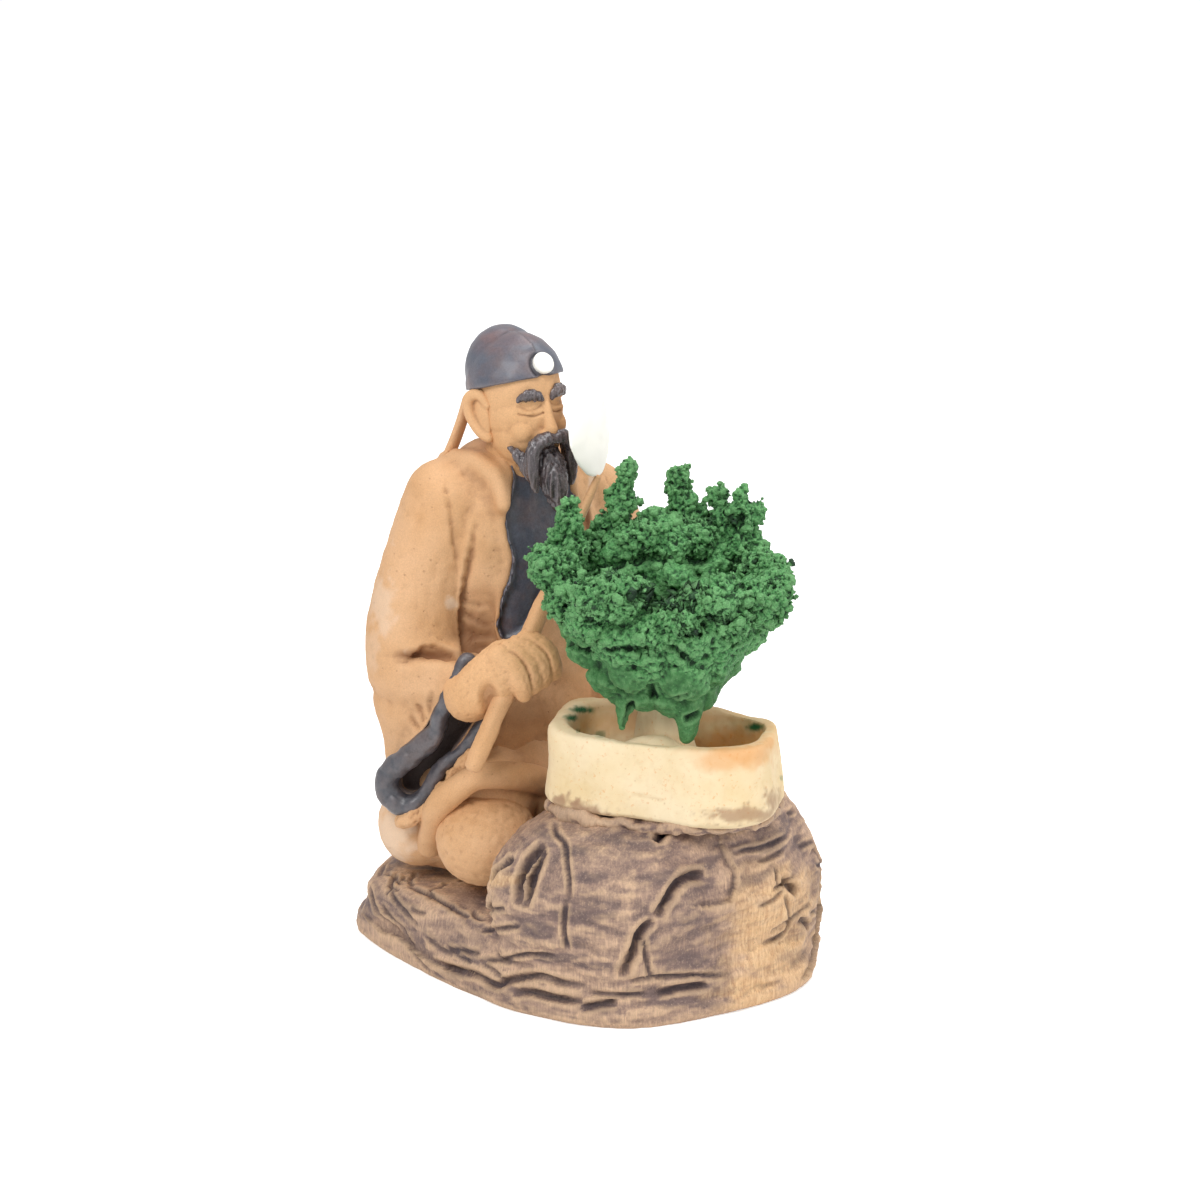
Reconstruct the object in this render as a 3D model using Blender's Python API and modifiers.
"""Hand-built clay figurine: a seated sage with a fan beside a dwarf tree in a pot, on a rock.

Every object is one wad, slab or coil that a potter shapes by itself and then lutes to its neighbours.
All sizes are millimetres, and MM turns them into metres where a mesh is made. +Z is up, -Y is the side
that the rock turns to the viewer, and the origin ends up under the middle of the finished figurine.
"""

import math

import bmesh
import bpy
from mathutils import Euler, Matrix, Vector, noise

MM = 0.001

# The slip joint that is left between two pieces of clay
JOINT = 0.3

# Rock
SLAB_THICKNESS = 3.0
SLAB_LIP = 0.9
LEDGE_HEIGHT = 12.0
LEDGE_DROP = 3.4
BOULDER_HEIGHT = 30.0
PAD_HEIGHT = 2.6
PAD_FLOOR = 0.9
PAD_MARGIN = 0.9
ROCK_ROUGHNESS = 1.0

# Pot, whose own frame has its origin on the floor of the pad that it stands in
POT_X = 11.6
POT_Y = -19.8
POT_TURN = -17.0
POT_LENGTH = 35.0
POT_WIDTH = 20.5
POT_HEIGHT = 12.4
POT_WALL = 2.5
POT_FLOOR = 3.6
POT_FLARE = 0.9

# Dwarf tree, whose crown has its own frame at the height where the foliage starts
TRUNK_FOOT_RADIUS = 6.4
TRUNK_TOP_RADIUS = 3.4
TRUNK_SHOWN = 3.6
TRUNK_TENON = 7.0
CROWN_RADIUS = 17.0
CROWN_HEIGHT = 20.0
CROWN_HOLLOW_RADIUS = 4.4
CROWN_HOLLOW_DEPTH = 6.0

# Sitter, whose own frame has its origin on the ledge, -Y in front of the chest and +X on the left hand
SITTER_X = -13.0
SITTER_Y = 8.0
SITTER_TURN = 35.0
ROBE_HEIGHT = 69.5
KNEE_RADIUS = 8.2
HEM_RADIUS = 2.2
LAPEL_THICKNESS = 1.6
LAPEL_RECESS = 0.5
LAPEL_FRONT = -26.0
LAPEL_BACK = -3.0
CUFF_RADIUS = 1.5
MOUTH_RADIUS = 2.6

# Head, whose own frame has its origin at the chin's height on the axis of the neck
HEAD_X = -0.6
HEAD_Y = -4.7
HEAD_SINK = 3.5
HEAD_TURN = 3.0
HEAD_TILT = -4.0
HEAD_WIDTH = 13.6
HEAD_DEPTH = 15.8
HEAD_HEIGHT = 21.0
CAP_THICKNESS = 1.0
DISC_RADIUS = 1.75
DISC_THICKNESS = 0.9
BROW_THICKNESS = 0.8
MOUSTACHE_RADIUS = 0.95
BEARD_LENGTH = 8.0

# Fan
HANDLE_RADIUS = 1.5
BLADE_LENGTH = 13.4
BLADE_WIDTH = 11.5
BLADE_THICKNESS = 1.3

# Plan of the rock where it meets the table, and of the boulder, from the left end anticlockwise
GROUND = (
    (-38.4, 4.5), (-36.0, -3.0), (-28.5, -13.2), (-18.0, -24.2), (-8.2, -32.1), (6.4, -37.3),
    (21.1, -30.3), (31.1, -23.0), (35.5, -14.4), (36.5, -2.0), (32.0, 9.0), (22.0, 18.0),
    (8.0, 24.0), (-8.0, 27.0), (-22.0, 26.0), (-33.0, 18.0),
)
BOULDER = (
    (-14.5, -26.6), (-8.2, -32.1), (6.4, -37.3), (21.1, -30.3), (31.1, -23.0), (35.5, -14.4),
    (37.0, -6.0), (31.0, -1.0), (18.0, -2.5), (6.0, -6.5), (-4.0, -11.5), (-12.5, -16.5),
)
# Boulder's courses: share of its height, how far it draws in all round, and how far its left and its right
# shoulder lean in
BOULDER_COURSES = (
    (0.0, 0.8, 0.0, 0.0), (0.1, 0.3, 0.0, 0.0), (0.22, 0.0, -0.4, 0.0), (0.36, -0.3, -0.8, 0.0),
    (0.48, -0.5, -1.0, 0.0), (0.56, -0.45, -0.9, 0.6), (0.65, -0.1, -0.6, 1.5), (0.72, 0.2, -0.2, 2.2),
    (0.82, 1.2, 0.6, 2.9), (0.92, 2.9, 1.8, 3.1), (0.98, 5.0, 2.6, 3.2), (1.0, 7.4, 3.0, 3.2),
)
# Ledge's courses: share of its height, and how far it draws in
LEDGE_COURSES = ((0.0, 0.4), (0.15, 0.1), (0.32, 0.1), (0.5, 0.3), (0.66, 0.6), (0.82, 1.2), (0.95, 2.6), (1.0, 5.0))
# Robe's courses: share of its height, half width, half depth, and how far it lies behind the chest's axis
ROBE_COURSES = (
    (0.006, 15.5, 11.5, 2.0), (0.06, 19.0, 14.0, 1.5), (0.18, 19.5, 14.5, 1.0), (0.34, 16.0, 12.8, 0.5),
    (0.52, 14.8, 11.8, 0.0), (0.7, 15.2, 11.4, 0.2), (0.81, 15.4, 10.6, 0.4), (0.89, 13.4, 9.4, 0.4),
    (0.95, 10.4, 8.4, 0.2), (0.985, 7.6, 7.0, -0.4), (1.0, 5.6, 5.6, -1.0),
)
# Foliage's bowl: height and radius, up its outside and down into its hollow's rim
CROWN_COURSES = (
    (0.2, 4.0), (1.4, 6.8), (4.0, 9.4), (8.0, 12.4), (12.0, 15.0), (15.6, 16.2), (18.4, 14.6), (18.8, 9.5),
)
# Lumps on and under the bowl: x, y, z and radius
CROWN_LUMPS = (
    (-8.6, -5.6, 6.2, 3.8), (-10.0, -1.0, 4.8, 2.9), (-7.2, -4.2, 3.6, 3.0), (-3.0, -6.6, 4.0, 3.6),
    (1.2, -7.6, 3.6, 4.0), (5.4, -5.6, 3.6, 3.4), (5.8, -1.6, 3.6, 3.0), (-5.4, -9.6, 9.2, 4.2),
    (2.4, -10.4, 8.4, 4.6), (7.4, -6.8, 8.8, 4.0), (9.6, -2.0, 9.8, 3.6), (0.0, 8.0, 4.0, 3.6),
    (-7.4, 5.6, 5.4, 3.8), (6.4, 5.0, 6.4, 3.6), (-11.0, -3.6, 10.8, 4.0), (11.6, 4.6, 12.6, 4.4),
    (0.0, 12.0, 11.0, 4.4), (-12.4, 3.6, 12.0, 4.6), (0.4, 4.6, 20.6, 5.4), (6.8, 5.6, 20.8, 4.6),
    (-6.2, 5.0, 20.4, 4.8), (1.8, -0.6, 18.6, 3.4),
)
# Runs of glaze under the bowl: x, y, z and radius
DRIPS = (
    ((-5.8, -5.2, 4.0, 2.6), (-6.2, -5.8, 1.6, 1.5), (-6.5, -6.1, 0.0, 1.0), (-6.6, -6.2, -1.9, 0.6)),
    ((3.2, -7.4, 2.6, 2.8), (3.4, -8.2, 0.0, 1.9), (3.4, -8.5, -1.6, 1.5), (3.2, -8.5, -2.7, 1.15)),
)
# Wads of sieved clay on the bowl, each of a few eggs: x, y, z, radius and half height
TUFTS = {
    "left_spire": ((-15.0, 2.0, 24.6, 3.1, 3.4), (-14.8, 2.0, 28.0, 2.0, 2.6), (-14.2, 2.0, 30.9, 1.1, 1.7)),
    "left_low": ((-17.0, -3.4, 22.4, 3.7, 3.5), (-15.2, -6.0, 18.6, 3.4, 3.6), (-18.8, -1.0, 23.4, 2.3, 2.2)),
    "front_left": ((-9.6, -11.6, 20.6, 4.4, 3.9), (-6.2, -12.6, 21.0, 3.3, 3.4), (-11.6, -10.4, 17.2, 3.8, 3.2)),
    "front": ((1.2, -14.0, 18.2, 3.8, 3.3), (3.6, -13.0, 19.8, 2.4, 2.4), (-1.6, -13.8, 16.4, 3.2, 2.6)),
    "front_right": ((8.0, -11.8, 20.4, 3.7, 3.5), (5.8, -11.6, 20.6, 2.2, 2.4), (9.4, -11.6, 17.0, 3.4, 2.8)),
    "right_low": ((15.4, -7.0, 18.6, 3.9, 4.3), (13.2, -8.6, 19.8, 3.0, 3.2), (17.4, -4.6, 19.4, 2.8, 3.6)),
    "right_high": ((17.2, -0.6, 20.6, 3.0, 3.2), (15.4, 2.4, 20.2, 3.6, 3.6)),
    "right_spire": ((12.9, 6.6, 23.4, 4.3, 4.3), (12.2, 7.0, 28.6, 2.8, 2.9), (14.0, 7.0, 27.6, 2.1, 2.2),
                    (12.7, 7.0, 31.8, 1.3, 1.8), (8.8, 7.6, 26.8, 2.7, 3.4), (8.7, 8.4, 30.4, 1.7, 2.3)),
    "back_spire": ((2.6, 8.4, 26.4, 3.8, 3.8), (2.2, 8.2, 31.2, 2.3, 2.7), (2.3, 8.0, 34.4, 1.9, 2.0),
                   (5.4, 9.0, 27.0, 2.8, 3.4)),
    "back_left_spire": ((-7.6, 8.0, 24.6, 3.4, 4.0), (-6.8, 8.0, 30.0, 2.5, 2.8), (-5.9, 8.0, 33.6, 1.5, 2.2),
                        (-5.6, 8.0, 36.0, 0.8, 1.4)),
    "back_left_low": ((-12.0, 7.5, 21.0, 4.4, 4.2), (-9.6, 10.6, 20.0, 4.2, 4.2)),
    "inner": ((-1.6, 4.4, 27.6, 4.3, 3.7), (1.6, 3.8, 24.6, 3.8, 3.2), (-4.2, 4.0, 25.2, 3.2, 3.2),
              (5.2, 4.0, 26.0, 3.2, 2.9)),
}
# Sleeves, as coils of x, y, z and radius on the left side: down the arm, along the forearm, and the hanging bag
SLEEVE_RUNS = (
    ((11.4, 1.0, 61.2, 6.8), (15.4, 1.0, 51.0, 7.1), (17.3, 1.2, 42.0, 7.8), (17.8, 0.0, 35.5, 8.0)),
    ((17.5, -1.0, 35.0, 7.4), (16.0, -7.0, 34.6, 5.6), (14.8, -11.0, 35.0, 4.4)),
    ((17.6, 0.5, 29.5, 7.0), (17.8, 0.2, 23.5, 5.6), (19.6, -0.6, 17.4, 4.4)),
    ((15.2, -9.6, 33.0, 4.6), (17.2, -6.4, 26.0, 4.8), (20.4, -2.8, 18.0, 4.0)),
)
MOUTH_RUNS = (
    ((16.4, -15.0, 36.0, 0.0), (18.8, -11.8, 29.0, 0.4), (21.0, -8.2, 23.0, 0.0), (22.8, -5.2, 17.6, -0.6)),
    ((15.0, -13.0, 35.0, 0.0), (16.8, -9.6, 29.0, 0.0), (18.8, -6.2, 23.0, -0.3), (20.9, -3.4, 17.4, -0.9)),
)
CUFF_LOOP = (
    (14.8, -12.6, 39.0), (17.8, -11.2, 33.6), (19.8, -9.4, 28.4), (21.6, -6.2, 23.4), (23.8, -2.0, 18.2),
    (24.0, -1.2, 14.8), (22.2, -5.6, 13.8), (19.6, -7.4, 17.6), (17.0, -10.0, 22.4), (14.2, -13.2, 28.4),
    (12.6, -15.0, 34.0),
)

# Colour of each finish, and its roughness
FINISHES = {
    "painted_clay": ((0.56, 0.33, 0.16, 1.0), 0.85),
    "pale_clay": ((0.84, 0.70, 0.45, 1.0), 0.9),
    "rock_clay": ((0.27, 0.18, 0.12, 1.0), 0.9),
    "dark_glaze": ((0.075, 0.065, 0.075, 1.0), 0.5),
    "green_glaze": ((0.045, 0.22, 0.09, 1.0), 0.6),
    "white_glaze": ((0.88, 0.85, 0.76, 1.0), 0.4),
}


# Finish of a piece that only cuts
CUTTER = "cutter"


def finish(name):
    """The material of this name, made the first time it is asked for."""
    made = bpy.data.materials.get(name)
    if made is None:
        colour, roughness = FINISHES[name]
        made = bpy.data.materials.new(name)
        made.use_nodes = True
        shader = made.node_tree.nodes["Principled BSDF"]
        shader.inputs["Base Color"].default_value = colour
        shader.inputs["Roughness"].default_value = roughness
        shader.inputs["Metallic"].default_value = 0.0
    return made


def frame(name, at, turn=(0.0, 0.0, 0.0), parent=None):
    """An empty that carries pieces: its place in millimetres and its turn in degrees."""
    made = bpy.data.objects.new(name, None)
    made.location = Vector(at) * MM
    made.rotation_euler = [math.radians(angle) for angle in turn]
    made.parent = parent
    FIGURINE.objects.link(made)
    bpy.context.view_layer.update()
    return made


def piece(name, mesh, slot, parent):
    """One piece of clay: a mesh in its parent's frame with its finish."""
    made = bpy.data.objects.new(name, mesh)
    made.data.materials.clear()
    made.parent = parent
    if slot == CUTTER:
        cutter(made)
    else:
        made.data.materials.append(finish(slot))
        FIGURINE.objects.link(made)
    bpy.context.view_layer.update()
    return made


def cutter(obj):
    """Sets an object apart as a tool that only cuts."""
    obj.hide_render = True
    obj.display_type = "WIRE"
    TOOLS.objects.link(obj)
    return obj


def settle(obj):
    """Gives the object the mesh that its modifiers make, and takes them off."""
    bpy.context.view_layer.update()
    shown = obj.evaluated_get(bpy.context.evaluated_depsgraph_get())
    mesh = bpy.data.meshes.new_from_object(shown)
    obj.modifiers.clear()
    old, obj.data = obj.data, mesh
    bpy.data.meshes.remove(old)
    return obj


def smooth(obj, crease=50.0):
    obj.data.shade_smooth()
    obj.data.set_sharp_from_angle(angle=math.radians(crease))
    return obj


def unit_ball(rows=9, columns=16):
    """Points and faces of a ball of radius 1."""
    points = [(0.0, 0.0, -1.0)]
    for row in range(1, rows):
        tilt = math.pi * row / rows
        for column in range(columns):
            turn = math.tau * column / columns
            points.append((math.sin(tilt) * math.cos(turn), math.sin(tilt) * math.sin(turn), -math.cos(tilt)))
    points.append((0.0, 0.0, 1.0))
    top = len(points) - 1
    faces = []
    for i in range(columns):
        j = (i + 1) % columns
        faces.append((0, 1 + j, 1 + i))
        for row in range(rows - 2):
            low, high = 1 + row * columns, 1 + (row + 1) * columns
            faces.append((low + i, low + j, high + j, high + i))
        faces.append((top, top - columns + i, top - columns + j))
    return [Vector(point) for point in points], faces


BALL_POINTS, BALL_FACES = unit_ball()


def ball(clay, at, radii, turn=(0.0, 0.0, 0.0)):
    """Adds an egg of clay."""
    egg = Matrix.LocRotScale(
        Vector(at) * MM, Euler([math.radians(angle) for angle in turn]), Vector(radii) * MM
    )
    skin = [clay.verts.new(egg @ point) for point in BALL_POINTS]
    for face in BALL_FACES:
        clay.faces.new([skin[i] for i in face])


def along(points, steps, closed=False):
    """Points of a smooth curve through these ones. Each may have more than three numbers, such as a radius."""
    count = len(points)
    made = []
    for i in range(count if closed else count - 1):
        before, start, end, after = (
            Vector(points[j % count] if closed else points[min(max(j, 0), count - 1)])
            for j in (i - 1, i, i + 1, i + 2)
        )
        for step in range(steps):
            t = step / steps
            made.append(
                0.5 * (2 * start + (end - before) * t
                       + (2 * before - 5 * start + 4 * end - after) * t * t
                       + (3 * start - before - 3 * end + after) * t ** 3)
            )
    if not closed:
        made.append(Vector(points[-1]))
    return made


def coil(clay, points, steps=6, closed=False):
    """Adds a rolled coil through (x, y, z, radius) points, as a row of overlapping balls."""
    for x, y, z, radius in along(points, steps, closed):
        ball(clay, (x, y, z), (radius, radius, radius))


def courses(clay, rings):
    """Adds a closed wall of one ring over another, each a list of as many (x, y, z) points."""
    rows = [[clay.verts.new(Vector(point) * MM) for point in ring] for ring in rings]
    for low, high in zip(rows, rows[1:]):
        for i in range(len(low)):
            j = (i + 1) % len(low)
            clay.faces.new((low[i], low[j], high[j], high[i]))
    clay.faces.new(rows[0][::-1])
    clay.faces.new(rows[-1])


def oval(half_x, half_y, z, at=(0.0, 0.0), square=2.0, sides=28):
    """An oval ring, rounder or squarer as square goes from 2 up."""
    ring = []
    for i in range(sides):
        c, s = math.cos(math.tau * i / sides), math.sin(math.tau * i / sides)
        ring.append((
            at[0] + half_x * math.copysign(abs(c) ** (2 / square), c),
            at[1] + half_y * math.copysign(abs(s) ** (2 / square), s),
            z,
        ))
    return ring


def drawn_in(outline, inset, z, left_lean=0.0, right_lean=0.0):
    """The outline drawn in towards its middle, with its left and its right side leaned in."""
    middle = sum((Vector(p) for p in outline), Vector((0.0, 0.0))) / len(outline)
    right = max(p[0] for p in outline)
    left = min(p[0] for p in outline)
    ring = []
    for p in outline:
        out = Vector(p) - middle
        at = middle + out * (1 - inset / out.length)
        share = (right - p[0]) / (right - left)
        ring.append((at.x + left_lean * share ** 2 - right_lean * (1 - share) ** 2, at.y, z))
    return ring


def mesh_of(clay, name):
    mesh = bpy.data.meshes.new(name)
    bmesh.ops.recalc_face_normals(clay, faces=clay.faces)
    clay.to_mesh(mesh)
    clay.free()
    return mesh


def lump(at, grain):
    return noise.noise(at / (grain * MM)) + 0.5 * noise.noise(at / (0.45 * grain * MM))


def roughen(mesh, height, grain):
    """Pushes the surface in and out by up to height, in lumps about grain across."""
    for vertex in mesh.vertices:
        vertex.co += vertex.normal * lump(vertex.co, grain) * height * MM


def weather(mesh, low, high):
    """Roughens the sides of a rock, and leaves its foot and its top flat for what stands on them."""
    for vertex in mesh.vertices:
        if low + 0.1 < vertex.co.z / MM < high - 0.1:
            side = Vector((vertex.normal.x, vertex.normal.y, 0.0))
            vertex.co += side * lump(vertex.co, 9.0) * ROCK_ROUGHNESS * MM


def worked(name, clay, slot, parent, grain=1.0, strokes=4, facets=600, lumps=0.0, lump_size=6.0):
    """Works lumps of clay into one skin, smooths it with a thumb and leaves about that many facets."""
    obj = piece(name, mesh_of(clay, name), slot, parent)
    remesh = obj.modifiers.new("one skin", "REMESH")
    remesh.mode = "VOXEL"
    remesh.voxel_size = grain * MM
    thumb = obj.modifiers.new("thumb", "SMOOTH")
    thumb.iterations = strokes
    if lumps:
        settle(obj)
        roughen(obj.data, lumps, lump_size)
    bpy.context.view_layer.update()
    skin = obj.evaluated_get(bpy.context.evaluated_depsgraph_get()).data
    coarse = obj.modifiers.new("facets", "DECIMATE")
    coarse.ratio = min(1.0, facets / (2 * len(skin.polygons)))
    settle(obj)
    largest_body(obj.data)
    return smooth(obj)


def boolean(obj, other, operation):
    """Cuts the object with the other, or keeps what they share, and takes the other away."""
    cut = obj.modifiers.new(operation, "BOOLEAN")
    cut.operation = operation
    cut.solver = "EXACT"
    cut.object = other
    settle(obj)
    bpy.data.objects.remove(other)
    largest_body(obj.data)
    return obj


def largest_body(mesh):
    """Rubs off the crumbs that a cut leaves, and keeps the piece itself."""
    clay = bmesh.new()
    clay.from_mesh(mesh)
    left = set(clay.verts)
    bodies = []
    while left:
        body, edge = set(), [left.pop()]
        while edge:
            vertex = edge.pop()
            body.add(vertex)
            near = {e.other_vert(vertex) for e in vertex.link_edges} & left
            left -= near
            edge.extend(near)
        bodies.append(body)
    if len(bodies) > 1:
        bodies.sort(key=span)
        crumbs = [vertex for body in bodies[:-1] for vertex in body]
        bmesh.ops.delete(clay, geom=crumbs, context="VERTS")
        clay.to_mesh(mesh)
    clay.free()


def span(body):
    return sum(max(v.co[i] for v in body) - min(v.co[i] for v in body) for i in range(3))


def copy_of(obj, grow=0.0):
    """The shape before any neighbour was pressed into it, thicker all round by grow, as a loose object."""
    mesh = FORMS.get(obj.name, obj.data).copy()
    mesh.transform(obj.matrix_world)
    normals = [vertex.normal.copy() for vertex in mesh.vertices]
    for vertex, normal in zip(mesh.vertices, normals):
        vertex.co += normal * grow * MM
    return cutter(bpy.data.objects.new(obj.name + "_tool", mesh))


def box_of(obj):
    corners = [obj.matrix_world @ Vector(corner) for corner in obj.bound_box]
    return [(min(c[i] for c in corners), max(c[i] for c in corners)) for i in range(3)]


def touching(a, b):
    """Whether the boxes round two pieces meet."""
    room = 2 * JOINT * MM
    return all(
        low_a - room < high_b and low_b - room < high_a
        for (low_a, high_a), (low_b, high_b) in zip(box_of(a), box_of(b))
    )


def seat(obj, *neighbours, gap=JOINT):
    """Presses the neighbours into the object, with a slip joint between them."""
    FORMS.setdefault(obj.name, obj.data.copy())
    for neighbour in neighbours:
        if touching(obj, neighbour):
            boolean(obj, copy_of(neighbour, gap), "DIFFERENCE")
    return smooth(obj)


def posture(z):
    """Height in the sitter's frame of a point that was set out for a robe 69.5 high."""
    return z * ROBE_HEIGHT / 69.5


def posed(points, side=1.0, wrist=0.0):
    """Points of the sitter on the left (1) or the right (-1) side, for this robe and this height of the wrist."""
    made = []
    for x, y, z, *rest in points:
        reach = min(max((-1.0 - y) / 12.0, 0.0), 1.0) * min(max((z - 15.0) / 18.0, 0.0), 1.0)
        made.append((side * x, y, posture(z + wrist * reach), *rest))
    return made


def rock(assembly):
    ground = along(GROUND, 3, closed=True)
    clay = bmesh.new()
    courses(clay, (
        drawn_in(ground, 0.7, 0.0), drawn_in(ground, 0.0, 0.8),
        drawn_in(ground, 0.0, SLAB_THICKNESS - 0.8), drawn_in(ground, 0.8, SLAB_THICKNESS),
    ))
    slab = smooth(piece("bottom_slab", mesh_of(clay, "bottom_slab"), "rock_clay", assembly))

    foot = SLAB_THICKNESS + JOINT
    plan = along(BOULDER, 3, closed=True)
    clay = bmesh.new()
    courses(clay, [
        drawn_in(plan, 0.4 * SLAB_LIP + inset, foot + share * (BOULDER_HEIGHT - foot), left_lean, right_lean)
        for share, inset, left_lean, right_lean in BOULDER_COURSES
    ])
    boulder = piece("boulder", mesh_of(clay, "boulder"), "rock_clay", assembly)
    weather(boulder.data, foot, BOULDER_HEIGHT)
    smooth(boulder)

    clay = bmesh.new()
    courses(clay, [
        drawn_in(ground, SLAB_LIP + inset, foot + share * (LEDGE_HEIGHT - foot))
        for share, inset in LEDGE_COURSES
    ])
    ledge = piece("ledge", mesh_of(clay, "ledge"), "rock_clay", assembly)
    weather(ledge.data, foot, LEDGE_HEIGHT)
    for vertex in ledge.data.vertices:
        fall = min(max((-24.0 * MM - vertex.co.x) / (13.0 * MM), 0.0), 1.0)
        rise = max(vertex.co.z / MM - foot, 0.0) / (LEDGE_HEIGHT - foot)
        vertex.co.z -= LEDGE_DROP * MM * fall * rise
    seat(ledge, boulder)
    return slab, ledge, boulder


def pot_and_tree(assembly):
    stand = frame("pot_stand", (POT_X, POT_Y, BOULDER_HEIGHT + JOINT), (0.0, 0.0, POT_TURN), assembly)
    half_x, half_y = POT_LENGTH / 2, POT_WIDTH / 2
    low = PAD_FLOOR + JOINT
    rim = low + POT_HEIGHT

    def wall(z, out):
        return oval(half_x + out, half_y + out, z, square=3.2, sides=28)

    clay = bmesh.new()
    courses(clay, (
        wall(low, POT_FLARE - 1.0), wall(low + 0.9, POT_FLARE), wall(low + 0.6 * POT_HEIGHT, 0.4 * POT_FLARE),
        wall(rim - 0.8, 0.0), wall(rim, -0.7),
        wall(rim, 0.5 - POT_WALL), wall(rim - 0.9, -POT_WALL), wall(low + POT_FLOOR + 2.0, -POT_WALL - 0.5),
        wall(low + POT_FLOOR, -POT_WALL - 2.0),
    ))
    pot = smooth(piece("pot", mesh_of(clay, "pot"), "pale_clay", stand))

    clay = bmesh.new()
    courses(clay, [
        oval(half_x + POT_FLARE + out, half_y + POT_FLARE + out, z, at=(0.0, 0.7), square=2.8, sides=30)
        for z, out in ((0.0, 0.2), (0.5 * PAD_HEIGHT, PAD_MARGIN), (PAD_HEIGHT, PAD_MARGIN - 0.7))
    ])
    pad = seat(piece("pot_pad", mesh_of(clay, "pot_pad"), "rock_clay", stand), pot)

    foot = low + POT_FLOOR + JOINT
    crown_low = rim + TRUNK_SHOWN
    top = crown_low + TRUNK_TENON
    rings = []
    for share, radius, roots in (
        (0.0, TRUNK_FOOT_RADIUS, 0.14), (0.25, 0.84 * TRUNK_FOOT_RADIUS, 0.1),
        (0.5, 1.2 * TRUNK_TOP_RADIUS, 0.05), (1.0, TRUNK_TOP_RADIUS, 0.0),
    ):
        ring = []
        for x, y, z in oval(radius, radius, foot + share * (top - foot), sides=24):
            swell = 1 + roots * math.cos(5 * math.atan2(y, x) + 0.6)
            ring.append((x * swell, y * swell, z))
        rings.append(ring)
    clay = bmesh.new()
    courses(clay, rings)
    trunk = seat(piece("trunk", mesh_of(clay, "trunk"), "pale_clay", stand), pot)

    crown = frame("crown_stand", (0.0, 0.0, crown_low), (0.0, 0.0, -POT_TURN), stand)
    core = seat(crown_core(crown), trunk, pot)
    tufts = []
    for name, eggs in TUFTS.items():
        tufts.append(seat(foliage_tuft("tuft_" + name, crown, eggs), core, *tufts))
    return pot, pad, trunk, core, tufts


def grown(x, y, z, *radii):
    """A spot of the crown, and the radii of what is there, for this crown's radius and height."""
    share, rise = CROWN_RADIUS / 17.0, CROWN_HEIGHT / 20.0
    return (x * share, y * share, z * rise), [radius * share for radius in radii]


def crown_core(crown):
    """The foliage's body: a lumpy bowl that opens upwards, with two runs of glaze under it."""
    share = CROWN_RADIUS / 17.0
    rise = CROWN_HEIGHT / 20.0
    top, _ = CROWN_COURSES[-1]
    hollow = [(top, CROWN_HOLLOW_RADIUS + 4.0), (top - 0.4 * CROWN_HOLLOW_DEPTH, CROWN_HOLLOW_RADIUS + 1.2),
              (top - CROWN_HOLLOW_DEPTH, 0.6 * CROWN_HOLLOW_RADIUS)]
    clay = bmesh.new()
    courses(clay, [oval(radius * share, radius * share, z * rise, sides=30) for z, radius in (*CROWN_COURSES, *hollow)])
    for lump_of_clay in CROWN_LUMPS:
        at, (radius,) = grown(*lump_of_clay)
        ball(clay, at, (radius, radius, 0.92 * radius))
    for drip in DRIPS:
        coil(clay, [(*at, radius) for at, (radius,) in (grown(*spot) for spot in drip)], steps=5)
    return worked("foliage_core", clay, "green_glaze", crown, 0.9, 2, 840, 0.5, 3.6)


def foliage_tuft(name, crown, eggs):
    """A wad of sieved clay, drawn up to a point where the tree has a spire."""
    clay = bmesh.new()
    for egg in eggs:
        at, (radius, half) = grown(*egg)
        ball(clay, at, (radius, radius, half))
    return worked(name, clay, "green_glaze", crown, 0.7, 1, 60 + 34 * len(eggs), 0.55, 2.2)


def robe_body(sitter):
    clay = bmesh.new()
    courses(clay, [
        oval(half_x, half_y, share * ROBE_HEIGHT, at=(0.0, back), square=2.3)
        for share, half_x, half_y, back in ROBE_COURSES
    ])
    for side in (-1.0, 1.0):
        ball(clay, (side * 17.0, 1.5, posture(7.4)), (6.9, 7.2, 7.0))
    return worked("robe_body", clay, "painted_clay", sitter, 1.0, 5, 700)


def robe_skirt(sitter):
    """The robe's lap, which rolls over both knees."""
    clay = bmesh.new()
    ball(clay, (0.0, -6.5, posture(14.5)), (14.5, 10.4, 9.6))
    for side in (-1.0, 1.0):
        coil(clay, posed(((11.0, 3.0, 10.0, 8.6), (12.0, -5.0, 13.0, 8.8), (10.0, -9.4, 14.5, 8.0)), side), steps=3)
        hem = ((19.4, -8.0, 16.0), (20.4, -12.6, 17.8), (17.9, -15.4, 21.0), (13.0, -16.6, 20.8),
               (6.9, -16.2, 18.6), (1.4, -14.6, 15.4))
        coil(clay, [(*spot, HEM_RADIUS) for spot in posed(hem, side)], steps=5)
    return worked("robe_skirt", clay, "painted_clay", sitter, 0.9, 3, 500)


def knee(name, sitter, side):
    clay = bmesh.new()
    ball(clay, (side * 14.2, -14.5, KNEE_RADIUS + 1.2), (KNEE_RADIUS + 0.1, KNEE_RADIUS, 0.93 * KNEE_RADIUS))
    coil(clay, ((side * 12.0, -12.5, 8.0, 0.8 * KNEE_RADIUS), (side * 4.5, -9.5, 7.0, 0.65 * KNEE_RADIUS)), steps=3)
    return worked(name, clay, "painted_clay", sitter, 0.8, 3, 200)


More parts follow.
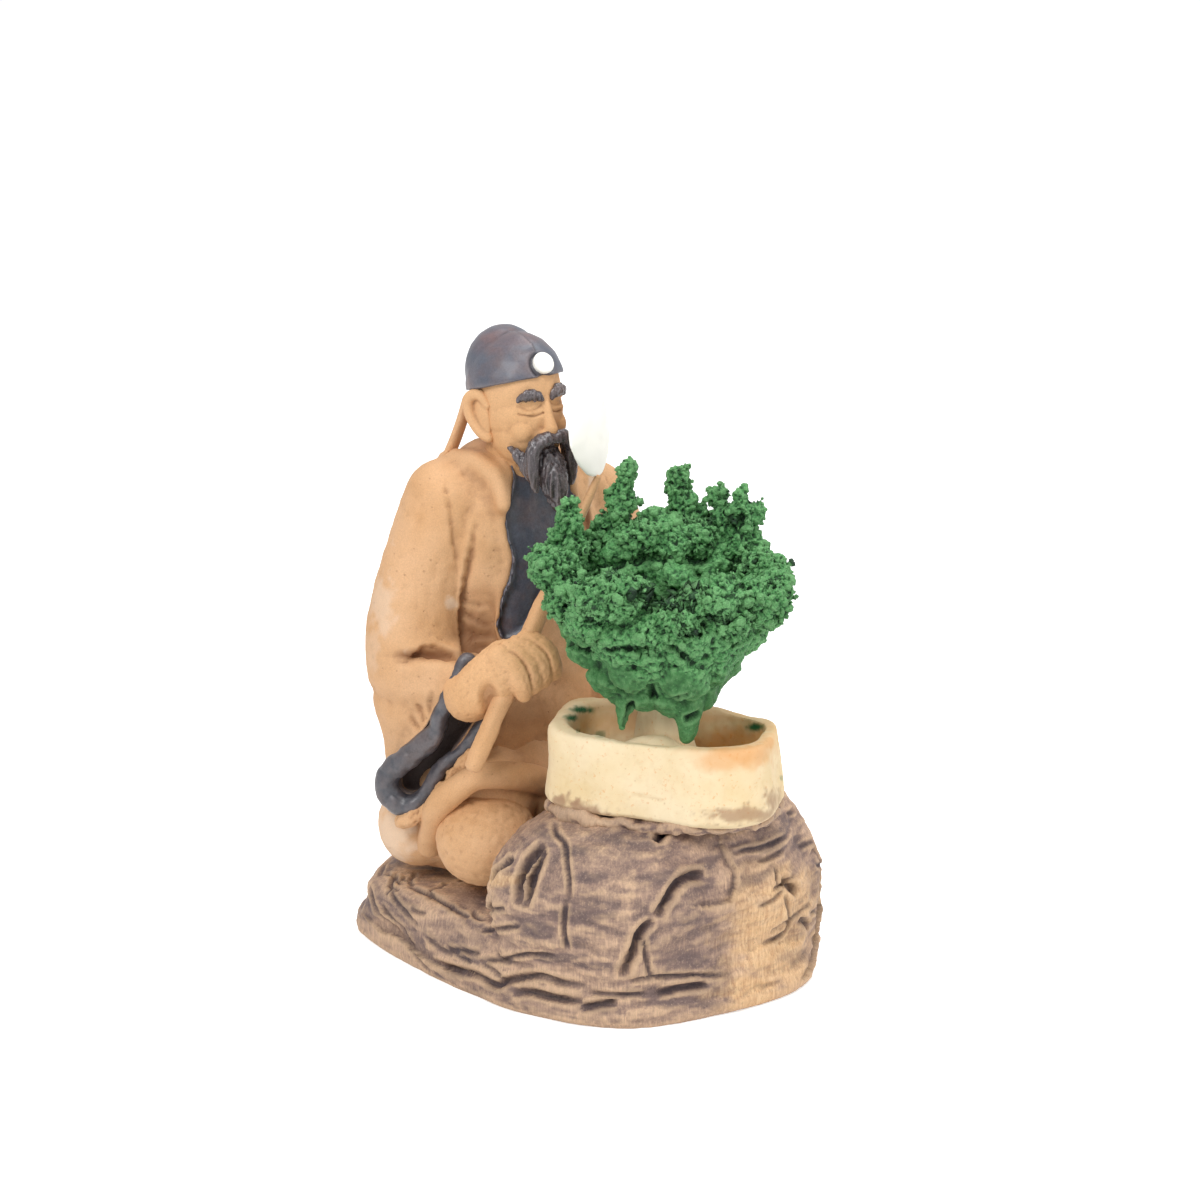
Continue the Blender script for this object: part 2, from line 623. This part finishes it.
def sleeve(name, sitter, side, wrist):
    """A wide sleeve from the shoulder to the wrist, with its mouth hanging open below the wrist."""
    clay = bmesh.new()
    for run in SLEEVE_RUNS:
        coil(clay, posed(run, side, wrist), steps=5)
    made = worked(name, clay, "painted_clay", sitter, 0.9, 4, 520)
    mouth = bmesh.new()
    for run in MOUTH_RUNS:
        coil(mouth, [(x, y, z, MOUTH_RADIUS + r) for x, y, z, r in posed(run, side, wrist)])
    opening = worked(name + "_mouth", mouth, CUTTER, sitter, 0.9, 2, 160)
    return smooth(boolean(made, opening, "DIFFERENCE"))


def cuff(name, sitter, side, wrist):
    """The dark binding round a sleeve's mouth."""
    clay = bmesh.new()
    coil(clay, [(*point, CUFF_RADIUS) for point in posed(CUFF_LOOP, side, wrist)], steps=5, closed=True)
    return worked(name, clay, "dark_glaze", sitter, 0.5, 2, 320)


def right_hand(sitter):
    """The hand that holds the fan, with four fingers laid over the handle."""
    clay = bmesh.new()
    palm = ((15.6, -10.6, 35.2, 3.2), (17.4, -14.0, 34.4, 3.6), (15.2, -16.6, 37.6, 4.0), (12.6, -18.0, 39.2, 4.1))
    coil(clay, posed(palm, -1.0), steps=4)
    for i in range(4):
        coil(clay, posed((
            (15.0 - 1.8 * i, -19.4, 41.0 + 0.7 * i, 1.4), (13.4 - 1.95 * i, -21.6, 39.4 + 0.7 * i, 1.4),
            (12.2 - 2.0 * i, -22.2, 37.0 + 0.8 * i, 1.25), (11.6 - 2.0 * i, -21.6, 34.8 + 0.8 * i, 1.1),
        ), -1.0), steps=4)
    return worked("right_hand", clay, "painted_clay", sitter, 0.45, 2, 440)


def left_hand(sitter, wrist):
    """The hand that rests on the left knee."""
    top = 2.0 * KNEE_RADIUS + HEM_RADIUS + 0.4
    clay = bmesh.new()
    (x, y, z, radius), = posed(((14.8, -11.0, 34.5, 3.0),), 1.0, wrist)
    coil(clay, ((x, y, z, radius), (14.2, -14.0, top + 3.6, 3.0), (13.8, -17.6, top + 1.6, 2.6)), steps=4)
    for i in range(4):
        across = 1.9 * (i - 1.5)
        coil(clay, ((13.8 + 0.8 * across, -17.0, top + 2.0, 1.5), (13.8 + across, -20.4, top + 0.2, 1.3),
                    (13.8 + across, -22.8, top - 2.6, 1.2), (13.8 + across, -23.6, top - 5.2, 1.0)), steps=4)
    coil(clay, ((12.0, -14.0, top + 3.0, 1.5), (9.8, -16.8, top + 1.4, 1.3), (8.6, -19.0, top - 0.6, 1.1)), steps=4)
    return worked("left_hand", clay, "painted_clay", sitter, 0.5, 2, 340)


def fan(sitter):
    low, high = Vector((-21.0, -20.6, posture(24.2))), Vector((6.4, -16.0, posture(66.3)))
    clay = bmesh.new()
    length = (high - low).length
    courses(clay, [oval(width * HANDLE_RADIUS, width * HANDLE_RADIUS, share * length, sides=14) for share, width in (
        (0.0, 0.55), (0.012, 0.85), (0.04, 1.0), (0.35, 1.04), (0.7, 0.95), (0.97, 0.72), (1.0, 0.45),
    )])
    lie = (high - low).to_track_quat("Z", "Y").to_matrix().to_4x4()
    bmesh.ops.transform(clay, matrix=Matrix.Translation(low * MM) @ lie, verts=clay.verts)
    handle = smooth(piece("fan_handle", mesh_of(clay, "fan_handle"), "painted_clay", sitter))

    across = Vector((0.84, 0.51, 0.0)).normalized()
    out = across.cross(Vector((0.02, 0.2, 1.0))).normalized()
    up = out.cross(across)
    clay = bmesh.new()
    ball(clay, (0.0, 0.0, 0.0), (0.5 * BLADE_WIDTH, 0.5 * BLADE_THICKNESS, 0.5 * BLADE_LENGTH))
    place = Matrix((across, out, up)).transposed().to_4x4()
    place.translation = (high + up * (0.5 * BLADE_LENGTH - 0.4) + Vector((0.4, 1.6, 0.0))) * MM
    bmesh.ops.transform(clay, matrix=place, verts=clay.verts)
    blade = smooth(piece("fan_blade", mesh_of(clay, "fan_blade"), "white_glaze", sitter))
    return handle, seat(blade, handle)


def head_pieces(sitter):
    """The head and what is laid on it, in a dict by name."""
    neck = frame("head_stand", (HEAD_X, HEAD_Y, ROBE_HEIGHT - HEAD_SINK), (HEAD_TILT, 0.0, HEAD_TURN), sitter)
    wide, deep, tall = HEAD_WIDTH / 15.2, HEAD_DEPTH / 17.4, HEAD_HEIGHT / 21.0
    made = {}

    def at(x, y, z, *rest):
        return (x * wide, y * deep, z * tall, *rest)

    def laid(name, points, slot, grain, facets, strokes=1, steps=6):
        clay = bmesh.new()
        coil(clay, [at(*point) for point in points], steps=steps)
        made[name] = worked(name, clay, slot, neck, grain, strokes, facets)

    clay = bmesh.new()
    ball(clay, at(0.0, 0.4, 13.0), at(7.5, 8.6, 7.9))
    ball(clay, at(0.0, -1.6, 6.6), at(6.5, 6.8, 6.4))
    ball(clay, at(0.0, -5.2, 2.6), at(3.2, 3.0, 2.6))
    for side in (-1.0, 1.0):
        ball(clay, at(side * 3.6, -5.6, 7.4), at(2.9, 2.6, 2.8))
        ball(clay, at(side * 2.9, -7.0, 10.4), at(1.6, 1.2, 0.9))
        ball(clay, at(side * 1.15, -8.9, 6.4), at(0.8, 0.9, 0.75))
    ball(clay, at(0.0, -6.9, 12.0), at(4.9, 1.5, 1.1))
    coil(clay, [at(0.0, -8.2, 11.0, 0.8), at(0.0, -9.0, 8.6, 1.0), at(0.0, -9.6, 6.9, 1.25)])
    coil(clay, [at(0.0, -7.8, 3.7, 0.9), at(0.0, -8.3, 3.7, 0.7)])
    coil(clay, [at(0.0, 1.0, 3.0, 5.2), at(0.0, 1.6, -3.4, 4.9)])
    made["head"] = worked("head", clay, "painted_clay", neck, 0.5, 3, 640)

    clay = bmesh.new()
    shell = Vector((CAP_THICKNESS, CAP_THICKNESS, CAP_THICKNESS))
    ball(clay, at(0.0, 0.6, 13.4), Vector(at(7.5, 8.6, 7.5)) + shell)
    ball(clay, at(0.0, 3.8, 15.6), Vector(at(6.2, 5.2, 6.1)) + shell)
    cap = worked("cap", clay, "dark_glaze", neck, 0.7, 3, 520)
    clay = bmesh.new()
    bmesh.ops.create_cube(clay, size=1.0, matrix=Matrix.LocRotScale(
        Vector(at(0.0, 0.0, 14.0 - 10.0)) * MM, Euler((math.radians(-14.0), 0.0, 0.0)), Vector((40.0, 40.0, 20.0)) * MM))
    boolean(cap, piece("under_cap", mesh_of(clay, "under_cap"), CUTTER, neck), "DIFFERENCE")
    made["cap"] = seat(cap, made["head"])

    clay = bmesh.new()
    bmesh.ops.create_cone(clay, cap_ends=True, segments=20, radius1=DISC_RADIUS * MM, radius2=0.86 * DISC_RADIUS * MM,
                          depth=DISC_THICKNESS * MM)
    lie = Matrix.LocRotScale(Vector(at(0.0, -7.8, 17.8)) * MM, Euler((math.radians(60.0), 0.0, 0.0)), None)
    bmesh.ops.transform(clay, matrix=lie, verts=clay.verts)
    made["cap_disc"] = smooth(piece("cap_disc", mesh_of(clay, "cap_disc"), "white_glaze", neck), 40.0)

    for name, s in (("right", -1.0), ("left", 1.0)):
        clay = bmesh.new()
        ball(clay, at(s * 7.5, 1.2, 9.4), at(0.9, 2.0, 3.7), (0.0, s * 8.0, 0.0))
        coil(clay, [at(s * 7.6, -0.4, 11.2, 0.6), at(s * 8.3, 1.4, 12.9, 0.75), at(s * 8.4, 3.4, 11.4, 0.75),
                    at(s * 8.0, 3.2, 8.8, 0.7), at(s * 7.6, 1.6, 6.0, 0.8)])
        made[name + "_ear"] = worked(name + "_ear", clay, "painted_clay", neck, 0.4, 2, 170)
        laid(name + "_brow", ((s * 1.1, -8.3, 12.5, 0.5), (s * 2.6, -8.2, 13.2, BROW_THICKNESS), (s * 4.6, -7.1, 12.7, 0.6)),
             "dark_glaze", 0.25, 90, steps=4)
        thick = MOUSTACHE_RADIUS
        laid(name + "_moustache", ((s * 1.1, -9.5, 5.5, 0.6 * thick), (s * 2.7, -9.2, 5.4, thick),
                                   (s * 4.0, -8.7, 4.0, 0.98 * thick), (s * 4.3, -8.6, 1.2, 0.85 * thick),
                                   (s * 3.7, -9.0, -1.8, 0.45 * thick)), "dark_glaze", 0.35, 150)
        laid(name + "_whisker", ((s * 6.2, -4.6, 5.6, 0.7), (s * 5.7, -6.0, 4.4, 1.15), (s * 5.2, -6.9, 2.4, 1.0),
                                 (s * 4.6, -7.8, 0.4, 0.5)), "dark_glaze", 0.35, 120)
        laid(name + "_ribbon", ((s * 5.5, 7.4, 11.0, 0.9), (s * 6.8, 7.8, 7.5, 1.1), (s * 8.4, 8.8, 3.5, 1.2),
                                (s * 10.2, 9.8, 0.2, 1.1)), "painted_clay", 0.4, 140, 2)

    drop = BEARD_LENGTH / 11.0
    laid("beard", ((0.0, -7.6, 2.6, 1.9), (0.0, -8.6, 0.4, 2.2), (0.0, -9.4, 2.6 - 5.2 * drop, 2.0),
                   (0.0, -10.0, 2.6 - 8.6 * drop, 1.1), (0.0, -10.3, 2.6 - 11.0 * drop, 0.5)), "dark_glaze", 0.4, 220)

    seat(made["beard"], made["right_moustache"], made["left_moustache"])
    for name in ("right", "left"):
        seat(made[name + "_whisker"], made[name + "_moustache"], made["beard"])
        seat(made[name + "_ribbon"], made["cap"], made[name + "_ear"])
        seat(made["cap"], made[name + "_ear"], made[name + "_brow"])
    seat(made["cap"], made["cap_disc"])
    seat(made["head"], *(made[side + part] for side in ("right", "left")
                         for part in ("_ear", "_brow", "_moustache", "_whisker", "_ribbon")), made["beard"], made["cap_disc"])
    return made


def chest_panel(sitter, robe):
    """The dark front of the inner robe: a tile let into the chest, a little below the robe's edges."""
    outline = [Vector(p) for p in posed((
        (-4.6, 0.0, 67.0), (-7.6, 0.0, 58.0), (-7.8, 0.0, 46.0), (-6.6, 0.0, 34.0), (-2.0, 0.0, 30.0),
        (4.0, 0.0, 32.0), (7.2, 0.0, 42.0), (7.4, 0.0, 56.0), (4.8, 0.0, 67.0),
    ))]
    middle = sum(outline, Vector()) / len(outline)

    def front(name, slot, grow):
        clay = bmesh.new()
        rows = []
        for y in (LAPEL_FRONT, LAPEL_BACK):
            spots = [middle + (p - middle) * (1 + grow / (p - middle).length) for p in outline]
            rows.append([(spot.x, y, spot.z) for spot in spots])
        courses(clay, rows)
        return piece(name, mesh_of(clay, name), slot, sitter)

    recess = front("recess", CUTTER, JOINT)
    boolean(recess, copy_of(robe, -LAPEL_RECESS - LAPEL_THICKNESS - JOINT), "DIFFERENCE")
    panel = front("chest_panel", "dark_glaze", 0.0)
    boolean(panel, copy_of(robe, -LAPEL_RECESS), "INTERSECT")
    boolean(panel, copy_of(robe, -LAPEL_RECESS - LAPEL_THICKNESS), "DIFFERENCE")
    boolean(robe, recess, "DIFFERENCE")
    return smooth(panel)


def centre_on_origin(assembly):
    """Sets the assembly on the table with the middle of its box over the origin."""
    bpy.context.view_layer.update()
    spots = [obj.matrix_world @ vertex.co for obj in FIGURINE.objects if obj.type == "MESH" for vertex in obj.data.vertices]
    low = [min(spot[i] for spot in spots) for i in range(3)]
    high = [max(spot[i] for spot in spots) for i in range(3)]
    assembly.location -= Vector(((low[0] + high[0]) / 2, (low[1] + high[1]) / 2, low[2]))
    bpy.context.view_layer.update()


def build():
    assembly = frame("figurine", (0.0, 0.0, 0.0))
    slab, ledge, boulder = rock(assembly)
    pot, pad, trunk, core, tufts = pot_and_tree(assembly)

    sitter = frame("sitter", (SITTER_X, SITTER_Y, LEDGE_HEIGHT + JOINT), (0.0, 0.0, SITTER_TURN), assembly)
    robe = robe_body(sitter)
    knees = [knee("right_knee", sitter, -1.0), knee("left_knee", sitter, 1.0)]
    skirt = robe_skirt(sitter)
    reach = {"right": 0.0, "left": -9.0}
    sleeves = [sleeve("right_sleeve", sitter, -1.0, reach["right"]), sleeve("left_sleeve", sitter, 1.0, reach["left"])]
    cuffs = [cuff("right_cuff", sitter, -1.0, reach["right"]), cuff("left_cuff", sitter, 1.0, reach["left"])]
    hands = [right_hand(sitter), left_hand(sitter, reach["left"])]
    handle, blade = fan(sitter)
    head = head_pieces(sitter)
    panel = chest_panel(sitter, robe)

    still = (boulder, pot, pad, core, *tufts)
    seat(hands[0], handle)
    for a, b in zip(cuffs, hands):
        seat(a, b, *still)
    for part in ("beard", "left_moustache", "left_whisker"):
        seat(head[part], handle)
    seat(blade, *head.values())
    ribbons = (head["right_ribbon"], head["left_ribbon"])
    seat(robe, handle, blade, head["head"], head["beard"], *ribbons, *cuffs, *still)
    seat(panel, handle, blade, head["head"], head["beard"])
    for obj in knees:
        seat(obj, robe, hands[1], *cuffs, *still)
    seat(skirt, robe, *knees, *hands, *cuffs, handle, *still)
    for obj in sleeves:
        seat(obj, robe, skirt, *knees, *hands, *cuffs, handle, panel, *ribbons, *still)
    for obj in hands:
        seat(obj, robe, *still)
    for obj in (robe, skirt, *knees, *sleeves, *cuffs):
        seat(obj, ledge)
    centre_on_origin(assembly)


for old in list(bpy.data.objects):
    bpy.data.objects.remove(old)
FIGURINE = bpy.data.collections.new("ceramic_figurine")
TOOLS = bpy.data.collections.new("cutting_tools")
bpy.context.scene.collection.children.link(FIGURINE)
bpy.context.scene.collection.children.link(TOOLS)
FORMS = {}
build()
for form in FORMS.values():
    bpy.data.meshes.remove(form)
bpy.data.collections.remove(TOOLS)
